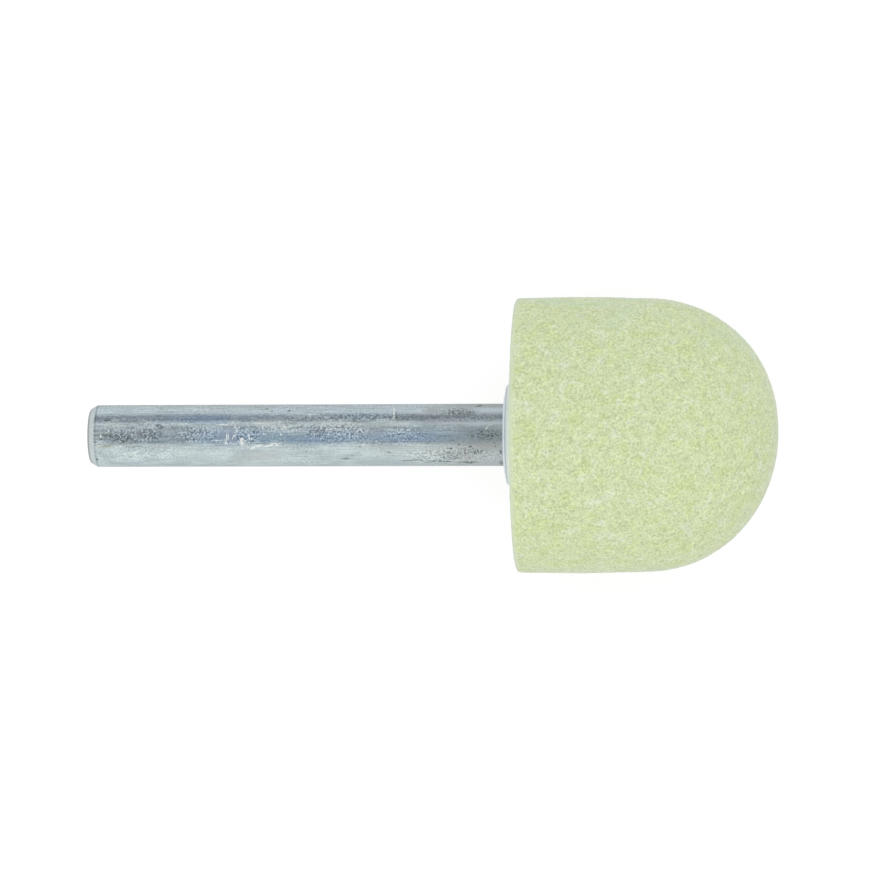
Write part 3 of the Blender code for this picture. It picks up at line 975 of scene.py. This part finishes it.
def zinc_material():
    """Zinc plating: etched speckle, drawn streaks, cool tints, stains, scuffs and a duller neck, with
    painted shade in a strip near its +Y edge and in dark lines at its chamfered end.
    """
    material, nodes, shader, place = new_material("zinc_plating")
    parts = nodes.add("ShaderNodeSeparateXYZ")
    nodes.feed(parts.inputs[0], place)
    upper = nodes.remap(parts.outputs["Z"], 0.0, UPPER_RISE)
    drawn = nodes.vector("MULTIPLY", place, DRAWN_CLOUD)
    cloud = nodes.noise(drawn, CLOUD_SIZE, detail=4.0, roughness=0.6)
    streaks = nodes.vector("MULTIPLY", place, DRAWN_STREAK)
    streaks = nodes.noise(streaks, STREAK_SIZE, detail=3.0, roughness=0.6)
    lines = nodes.noise(nodes.vector("MULTIPLY", place, DRAWN_LINE), LINE_SIZE, detail=1.0)
    blur = nodes.warp(nodes.warp(place, *BROAD_BLUR), *FINE_BLUR)
    markings = Markings(nodes, blur, upper)
    speckle = nodes.noise(nodes.warp(place, *RUFFLE), SPECKLE_SIZE, roughness=0.6)
    lined = nodes.remap(parts.outputs["Y"], LINED_START, LINED_END, LINED_SHARE, 1.0)
    etched = nodes.remap(nodes.noise(drawn, ETCH_PATCH_SIZE), *ETCH_PATCH_STEP, *ETCH_SHARES)
    etched = nodes.math("MULTIPLY", etched, lined)
    for zones, share in ETCHED:
        etched = nodes.math("MAXIMUM", etched, markings.mask(zones, solid=0.5, share=share))
    bright = nodes.math("MULTIPLY", nodes.remap(speckle, *BRIGHT_STEP), etched)
    pitted = nodes.math("MULTIPLY", nodes.remap(speckle, *PITTED_FADE, 1.0, 0.0), etched)
    tone = nodes.mix(nodes.remap(cloud, *CLOUD_STEP), ZINC_DARK, ZINC_LIGHT)
    tone = nodes.mix(nodes.remap(streaks, *STREAK_STEP, 0.0, STREAK_SHARE), tone, ZINC_STREAK)
    for zones, tint, share in TINTS:
        tone = nodes.mix(markings.mask(zones, solid=0.0, share=share), tone, tint)
    dark_lines = nodes.math("MULTIPLY", nodes.remap(lines, *DARK_LINE_STEP), lined)
    tone = shade(nodes, tone, dark_lines, LINE_DARK)
    light_lines = nodes.math("MULTIPLY", nodes.remap(lines, *LIGHT_LINE_FADE), lined)
    tone = shade(nodes, tone, light_lines, LINE_LIGHT)
    tone = shade(nodes, tone, bright, SPECK_LIGHT)
    tone = shade(nodes, tone, pitted, SPECK_DARK)
    neck = nodes.remap(parts.outputs["X"], NECK_START, NECK_END)
    neck = nodes.math("MULTIPLY", neck, nodes.remap(cloud, *NECK_STEP, *NECK_SHARES))
    tarnished = markings.mask(TARNISHED, solid=0.3, share=TARNISH_SHARE)
    neck = nodes.math("MAXIMUM", neck, tarnished)
    tone = nodes.mix(neck, tone, TARNISH_AND_PAINTED_SHADE)
    tone = nodes.mix(dark_threads(nodes, drawn), tone, STAIN_AND_PAINTED_SHADE)
    for spots, tint, share in STAINS:
        tone = nodes.mix(markings.mask(spots, solid=0.35, share=share), tone, tint)
    dark = dark_marks(nodes, markings, place, speckle)
    tone = nodes.mix(nodes.math("MULTIPLY", dark, DARK_SHARE), tone, STAIN_AND_PAINTED_SHADE)
    light = markings.mask(LIGHT_MARKS, solid=0.5)
    light_wear = nodes.remap(speckle, *LIGHT_MARK_STEP, *LIGHT_MARK_SHARES)
    light = nodes.math("MULTIPLY", light, light_wear)
    tone = nodes.mix(nodes.math("MULTIPLY", light, LIGHT_SHARE), tone, SCUFF)
    tone, chamfer = chamfer_tone_and_painted_shade(nodes, parts, tone, cloud)
    nodes.feed(shader.inputs["Base Color"], tone)
    shader.inputs["Metallic"].default_value = 1.0
    shader.inputs["Specular Tint"].default_value = ZINC_SPECULAR
    rough = nodes.remap(cloud, *SURFACE_STEP, *ZINC_ROUGHNESS)
    masks = (bright, dark, light, neck, chamfer)
    extras = (BRIGHT_ROUGH, DARK_ROUGH, LIGHT_ROUGH, NECK_ROUGH, CHAMFER_ROUGH)
    for mask, extra in zip(masks, extras):
        rough = nodes.math("ADD", rough, nodes.math("MULTIPLY", mask, extra))
    nodes.feed(shader.inputs["Roughness"], rough)
    waves = nodes.noise(nodes.vector("MULTIPLY", place, DRAWN_WAVE), WAVE_SIZE)
    normal = nodes.bump(speckle, SPECKLE_BUMP, nodes.bump(waves, WAVE_BUMP))
    nodes.feed(shader.inputs["Normal"], normal)
    return material


def dark_threads(nodes, drawn):
    """Thin dark threads that wander along the shank, in patches."""
    threads = nodes.warp(drawn, *WANDER)
    threads = ridged(nodes, threads, THREAD_SIZE, THREAD_WIDTH)
    patches = nodes.remap(nodes.noise(drawn, THREAD_PATCH_SIZE), *THREAD_PATCH_STEP)
    return nodes.math("MULTIPLY", nodes.math("MULTIPLY", threads, patches), THREAD_SHARE)


def dark_marks(nodes, markings, place, speckle):
    """The single dark marks, and the zones that are peppered with dark dots."""
    dots = nodes.noise(place, DOT_SIZE, roughness=0.7)
    dots = nodes.remap(dots, *DOT_FADE, 1.0, 0.0)
    peppered = nodes.math("MULTIPLY", markings.mask(PEPPERED, solid=0.35), dots)
    dark = markings.mask(DARK_MARKS, solid=0.4)
    dark_wear = nodes.remap(speckle, *DARK_MARK_FADE, *DARK_MARK_SHARES)
    dark = nodes.math("MULTIPLY", dark, dark_wear)
    return nodes.math("MAXIMUM", dark, nodes.math("MULTIPLY", peppered, DOT_SHARE))


def chamfer_tone_and_painted_shade(nodes, parts, tone, cloud):
    """The chamfered end, paler, with painted shade: a dark line at its outer edge and a broken one
    where it starts.

    Returns the tone with this on it, and where the chamfer is.
    """
    along = parts.outputs["X"]
    radius = radius_of(nodes, parts)
    chamfer = nodes.remap(along, *CHAMFER_FADE, 1.0, 0.0)
    chamfer = nodes.math("MULTIPLY", chamfer, nodes.remap(radius, *CHAMFER_RISE))
    tone = nodes.mix(nodes.math("MULTIPLY", chamfer, CHAMFER_SHARE), tone, CHAMFER)
    # Painted shade: a dark line along the chamfer's rounded outer edge
    edge = nodes.math("MULTIPLY", chamfer, nodes.remap(along, *END_LINE_FADE, 1.0, 0.0))
    tone = nodes.mix(edge, tone, TARNISH_AND_PAINTED_SHADE)
    # Painted shade: a broken dark line where the chamfer meets the shank
    off = nodes.math("ABSOLUTE", nodes.math("SUBTRACT", along, CREASE_PLACE))
    crease = nodes.remap(off, *CREASE_FADE, 1.0, 0.0)
    upper_side = nodes.remap(parts.outputs["Y"], 0.0, CREASE_RISE, *CREASE_SIDE_SHARES)
    crease = nodes.math("MULTIPLY", crease, upper_side)
    crease = nodes.math("MULTIPLY", crease, nodes.remap(cloud, *CREASE_STEP, *CREASE_SHARES))
    return nodes.mix(nodes.math("MULTIPLY", crease, CREASE_SHARE), tone, STAIN_AND_PAINTED_SHADE), chamfer


def alloy_material():
    """Collar alloy: satin, with a painted highlight on the step, painted shade where step and flange
    meet, a painted reflection of the green head at the seat, and faint rings.
    """
    material, nodes, shader, place = new_material("collar_alloy")
    parts = nodes.add("ShaderNodeSeparateXYZ")
    nodes.feed(parts.inputs[0], place)
    along = parts.outputs["X"]
    radius = radius_of(nodes, parts)
    ring_place = nodes.add("ShaderNodeCombineXYZ")
    nodes.feed(ring_place.inputs["X"], radius)
    nodes.feed(ring_place.inputs["Y"], along)
    rings = nodes.noise(ring_place.outputs[0], RING_SIZE)
    cloud = nodes.noise(place, SATIN_SIZE, detail=3.0)
    # The step's painted highlight, then bands of painted shade, the flange's tone and a painted
    # reflection of the head
    tone = ALLOY_STEP_PAINTED_HIGHLIGHT
    for (low, high), tint in ALLOY_BANDS:
        tone = nodes.mix(nodes.remap(along, COLLAR_FRONT + low, COLLAR_FRONT + high), tone, tint)
    tone = shade(nodes, tone, nodes.remap(rings, *SURFACE_STEP, 1.0, 0.0), RING_DARK)
    nodes.feed(shader.inputs["Base Color"], tone)
    shader.inputs["Metallic"].default_value = ALLOY_METALLIC
    nodes.feed(shader.inputs["Roughness"], nodes.remap(cloud, *SURFACE_STEP, *ALLOY_ROUGHNESS))
    nodes.feed(shader.inputs["Normal"], nodes.bump(rings, RING_BUMP))
    return material


# Light and floor


def studio_world():
    """A soft tent round the tool, whose brightness changes with the angle about the tool's axis."""
    world = bpy.data.worlds.new("studio")
    bpy.context.scene.world = world
    world.use_nodes = True
    nodes = Nodes(world.node_tree)
    world.node_tree.nodes.clear()
    direction = nodes.add("ShaderNodeSeparateXYZ")
    nodes.feed(direction.inputs[0], nodes.add("ShaderNodeTexCoord").outputs["Generated"])
    angle = nodes.math("ARCTAN2", direction.outputs["Y"], direction.outputs["Z"])
    share = nodes.math("ADD", nodes.math("DIVIDE", angle, 2 * math.pi), 0.5)
    ramp = nodes.add("ShaderNodeValToRGB")
    nodes.feed(ramp.inputs["Fac"], share)
    stops = ramp.color_ramp.elements
    stops[0].color = stops[-1].color = colour(*TENT[0][1])
    for degrees, tint in TENT[1:]:
        stops.new(degrees / 360 + 0.5).color = colour(*tint)
    toward_end = nodes.remap(nodes.math("ABSOLUTE", direction.outputs["X"]), *TENT_END_STEP)
    surround = nodes.mix(toward_end, ramp.outputs["Color"], TENT_END)
    tent = nodes.add("ShaderNodeBackground")
    nodes.feed(tent.inputs["Color"], surround)
    tent.inputs["Strength"].default_value = 1.0
    white = nodes.add("ShaderNodeBackground")
    white.inputs["Color"].default_value = colour(1.0, 1.0, 1.0)
    shown = nodes.add("ShaderNodeMixShader")
    nodes.feed(shown.inputs[0], nodes.add("ShaderNodeLightPath").outputs["Is Camera Ray"])
    nodes.feed(shown.inputs[1], tent.outputs[0])
    nodes.feed(shown.inputs[2], white.outputs[0])
    output = nodes.add("ShaderNodeOutputWorld")
    nodes.feed(output.inputs["Surface"], shown.outputs[0])


def fill_light(name, direction, power):
    """A wide panel, a metre from the head and facing it, that the metal doesn't mirror."""
    data = bpy.data.lights.new(name, "AREA")
    data.shape = "SQUARE"
    data.size = FILL_SIZE
    data.energy = power
    lamp = bpy.data.objects.new(name, data)
    toward = Vector(direction).normalized()
    lamp.location = Vector((HEAD_BACK, 0.0, 0.0)) + toward * FILL_DISTANCE
    lamp.rotation_euler = toward.to_track_quat("Z", "Y").to_euler()
    lamp.visible_glossy = False
    bpy.context.scene.collection.objects.link(lamp)


def make_floor(height):
    """A plain pale floor under the head. It looks white but for the tool's soft shadow."""
    mesh = bpy.data.meshes.new("floor")
    reach = FLOOR_REACH
    signs = ((-1, -1), (1, -1), (1, 1), (-1, 1))
    corners = [(across * reach, along * reach, height) for across, along in signs]
    mesh.from_pydata(corners, [], [(0, 1, 2, 3)])
    floor = bpy.data.objects.new("floor", mesh)
    bpy.context.scene.collection.objects.link(floor)
    material = bpy.data.materials.new("pale_floor")
    material.use_nodes = True
    nodes = Nodes(material.node_tree)
    material.node_tree.nodes.clear()
    plain = nodes.add("ShaderNodeBsdfDiffuse")
    plain.inputs["Color"].default_value = colour(*FLOOR_COLOUR)
    shaded = nodes.add("ShaderNodeBsdfDiffuse")
    shaded.inputs["Color"].default_value = colour(*FLOOR_SHADED)
    glow = nodes.add("ShaderNodeEmission")
    glow.inputs["Color"].default_value = colour(1.0, 1.0, 1.0)
    glow.inputs["Strength"].default_value = FLOOR_GLOW
    lit = nodes.add("ShaderNodeAddShader")
    nodes.feed(lit.inputs[0], shaded.outputs[0])
    nodes.feed(lit.inputs[1], glow.outputs[0])
    path = nodes.add("ShaderNodeLightPath")
    seen = nodes.math("MAXIMUM", path.outputs["Is Camera Ray"], path.outputs["Is Glossy Ray"])
    seen = nodes.math("MAXIMUM", seen, path.outputs["Is Transmission Ray"])
    shown = nodes.add("ShaderNodeMixShader")
    nodes.feed(shown.inputs[0], seen)
    nodes.feed(shown.inputs[1], plain.outputs[0])
    nodes.feed(shown.inputs[2], lit.outputs[0])
    output = nodes.add("ShaderNodeOutputMaterial")
    nodes.feed(output.inputs["Surface"], shown.outputs[0])
    mesh.materials.append(material)


def dress(piece, material, node):
    """Give a piece its material, and let it stand for its CAD node."""
    piece.data.materials.append(material)
    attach(piece, "root")
    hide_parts(node)


bpy.context.scene.view_settings.view_transform = "Standard"
look_down()
spindle = make_spindle()
collar = make_collar()
noise.seed_set(GRAIN_SEED)
head = make_head()
dress(spindle, zinc_material(), "spindle")
dress(collar, alloy_material(), "collar")
dress(head, abrasive_material(), "grinding_head")
studio_world()
for fill in FILLS:
    fill_light(*fill)
make_floor(min(vertex.co.z for vertex in head.data.vertices))
